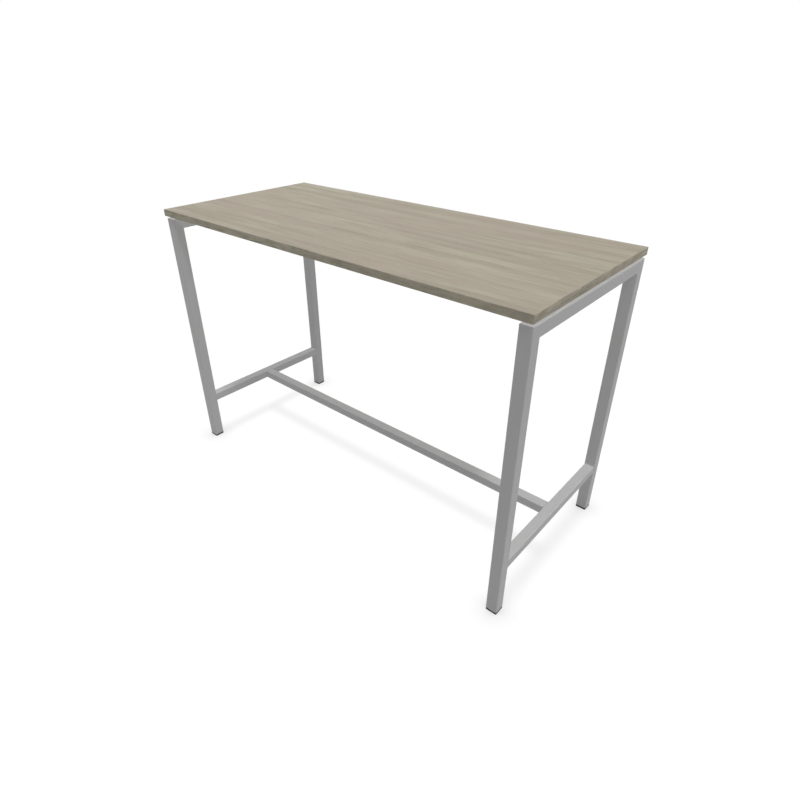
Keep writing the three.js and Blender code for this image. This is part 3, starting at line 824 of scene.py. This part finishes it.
def studio_floor():
    """White floor: to the eye most of its white is a glow, dimmed close to a foot by painted contact shade,
    and the rest is light from its lamp, which shadows take away; to other light it is a pale grey that
    bounces. From below it is clear."""
    finish, tree, surface, place = new_finish("studio_floor")
    # Painted shade: the glow is darkened where the occlusion test finds pieces close by.
    contact = node(tree, "ShaderNodeAmbientOcclusion", {"Distance": CONTACT_REACH}, samples=CONTACT_SAMPLES)
    glow_with_painted_shade = spread(tree, contact.outputs["AO"], 1 - FLOOR_CATCH - CONTACT_SHADE_DEPTH, 1 - FLOOR_CATCH)
    glow = node(tree, "ShaderNodeEmission", {"Strength": glow_with_painted_shade})
    catch = node(tree, "ShaderNodeBsdfDiffuse", {"Color": (FLOOR_CATCH, FLOOR_CATCH, FLOOR_CATCH, 1)})
    shown = node(tree, "ShaderNodeAddShader", {0: glow.outputs[0], 1: catch.outputs[0]})
    bounce = node(tree, "ShaderNodeBsdfDiffuse", {"Color": (FLOOR_BOUNCE, FLOOR_BOUNCE, FLOOR_BOUNCE, 1)})
    above_inputs = {0: seen_directly(tree), 1: bounce.outputs[0], 2: shown.outputs[0]}
    above = node(tree, "ShaderNodeMixShader", above_inputs)
    clear = node(tree, "ShaderNodeBsdfTransparent", {})
    under = node(tree, "ShaderNodeNewGeometry", {}).outputs["Backfacing"]
    both = node(tree, "ShaderNodeMixShader", {0: under, 1: above.outputs[0], 2: clear.outputs[0]})
    tree.links.new(both.outputs[0], tree.nodes["Material Output"].inputs["Surface"])
    return finish


floor_mesh = bpy.data.meshes.new("studio_floor")
floor_corners = [
    (-FLOOR_HALF, -FLOOR_HALF, 0),
    (FLOOR_HALF, -FLOOR_HALF, 0),
    (FLOOR_HALF, FLOOR_HALF, 0),
    (-FLOOR_HALF, FLOOR_HALF, 0),
]
floor_mesh.from_pydata(floor_corners, [], [(0, 1, 2, 3)])
floor = bpy.data.objects.new("studio_floor", floor_mesh)
floor.data.materials.append(studio_floor())
for place in PLACES:
    under_pad = floor.constraints.new("FLOOR")
    under_pad.target = frame["bodies"][f"pad_{place}"]
    under_pad.floor_location = "FLOOR_NEGATIVE_Z"
    under_pad.offset = -FLOOR_CLEARANCE

near_floor = bpy.data.collections.new("near_floor")
for piece in bpy.context.scene.objects:
    if piece.type == "MESH" and min(corner[Z] for corner in piece.bound_box) < SHADOW_REACH:
        near_floor.objects.link(piece)
bpy.context.scene.collection.objects.link(floor)
floor_alone = bpy.data.collections.new("floor_alone")
floor_alone.objects.link(floor)
all_but_floor = bpy.data.collections.new("all_but_floor")
all_but_floor.objects.link(floor)
top_rails = bpy.data.collections.new("top_rails")
lit_by_key = bpy.data.collections.new("all_but_floor_and_top_rails")
lit_by_key.objects.link(floor)
for side in SIDES:
    top_rails.objects.link(bpy.data.objects[f"top_rail_{side}_tube"])
    lit_by_key.objects.link(bpy.data.objects[f"top_rail_{side}_tube"])
for rest in (all_but_floor, lit_by_key):
    for left_out in rest.collection_objects:
        left_out.light_linking.link_state = "EXCLUDE"


def hang(name, lamp, lit, has_shadow):
    """Puts a lamp in the scene and says what it lights; a lamp that casts no shadow leaves no highlight."""
    lamp.use_shadow = has_shadow
    holder = bpy.data.objects.new(name, lamp)
    holder.visible_glossy = has_shadow
    holder.light_linking.receiver_collection = lit
    bpy.context.scene.collection.objects.link(holder)
    return holder


def hang_sun(name, light, angle, lit, has_shadow):
    """A far lamp. Each part of its light vector is what it lays on a face square to that axis, where
    one shows a white face as white; a sun of strength pi does that on a face square to itself."""
    sun = bpy.data.lights.new(name, "SUN")
    sun.energy = math.pi * Vector(light).length
    sun.angle = math.radians(angle)
    holder = hang(name, sun, lit, has_shadow)
    holder.rotation_euler = Vector(light).to_track_quat("Z", "Y").to_euler()
    return holder


hang_sun("key_lamp", KEY_LIGHT, KEY_ANGLE, lit_by_key, True)
hang_sun("gap_lamp", KEY_LIGHT, KEY_ANGLE, top_rails, False)
for name, light in FILL_LIGHTS.items():
    hang_sun(name, light, FILL_ANGLE, all_but_floor, False)
near_lamp = bpy.data.lights.new("near_lamp", "POINT")
near_lamp.energy = NEAR_LAMP_WATTS
near_lamp.shadow_soft_size = NEAR_LAMP_SIZE
hang("near_lamp", near_lamp, all_but_floor, False).location = NEAR_LAMP_PLACE
floor_lamp = hang_sun("floor_lamp", FLOOR_LIGHT, FLOOR_LAMP_ANGLE, floor_alone, True)
floor_lamp.light_linking.blocker_collection = near_floor

sky = bpy.data.worlds.new("studio_sky")
sky.use_nodes = True
sky_tree = sky.node_tree
direction = node(sky_tree, "ShaderNodeTexCoord", {}).outputs["Generated"]
towards = node(sky_tree, "ShaderNodeSeparateXYZ", {0: direction}).outputs
rise = node(sky_tree, "ShaderNodeMath", {0: towards["Z"], 1: 0.0}, operation="MAXIMUM").outputs[0]
squared = node(sky_tree, "ShaderNodeMath", {0: rise, 1: rise}, operation="MULTIPLY").outputs[0]
ring = node(sky_tree, "ShaderNodeMath", {0: rise, 1: squared}, operation="SUBTRACT").outputs[0]
lean_inputs = {0: towards["X"], 1: SKY_SIDE, 2: 1.0}
lean = node(sky_tree, "ShaderNodeMath", lean_inputs, operation="MULTIPLY_ADD").outputs[0]
leaning = node(sky_tree, "ShaderNodeMath", {0: ring, 1: lean}, operation="MULTIPLY").outputs[0]
level = node(sky_tree, "ShaderNodeMath", {0: leaning, 1: SKY_STRENGTH}, operation="MULTIPLY").outputs[0]
strength_inputs = {"Factor": seen_directly(sky_tree), FIRST_NUMBER: level, SECOND_NUMBER: 1.0}
strength = node(sky_tree, "ShaderNodeMix", strength_inputs).outputs[0]
sky_tree.links.new(strength, sky_tree.nodes["Background"].inputs["Strength"])
sky_tree.nodes["Background"].inputs["Color"].default_value = (1, 1, 1, 1)
bpy.context.scene.world = sky


# The camera: at eye height off the right front corner, looking down over the board with a wide lens.
# Its place, aim and lens were fitted to the edges of the table in the photograph.

CAMERA_PLACE = Vector((1.3528, -1.4714, 1.5509))
CAMERA_AIM = Vector((0.0925, 0.0, 0.376))
CAMERA_LENS = 25.584
camera_data = bpy.data.cameras.new("camera")
camera_data.lens = CAMERA_LENS
camera = bpy.data.objects.new("camera", camera_data)
camera.location = CAMERA_PLACE
camera.rotation_euler = (CAMERA_AIM - CAMERA_PLACE).to_track_quat("-Z", "Y").to_euler()
bpy.context.scene.collection.objects.link(camera)
bpy.context.scene.camera = camera
bpy.context.scene.view_settings.view_transform = "Standard"
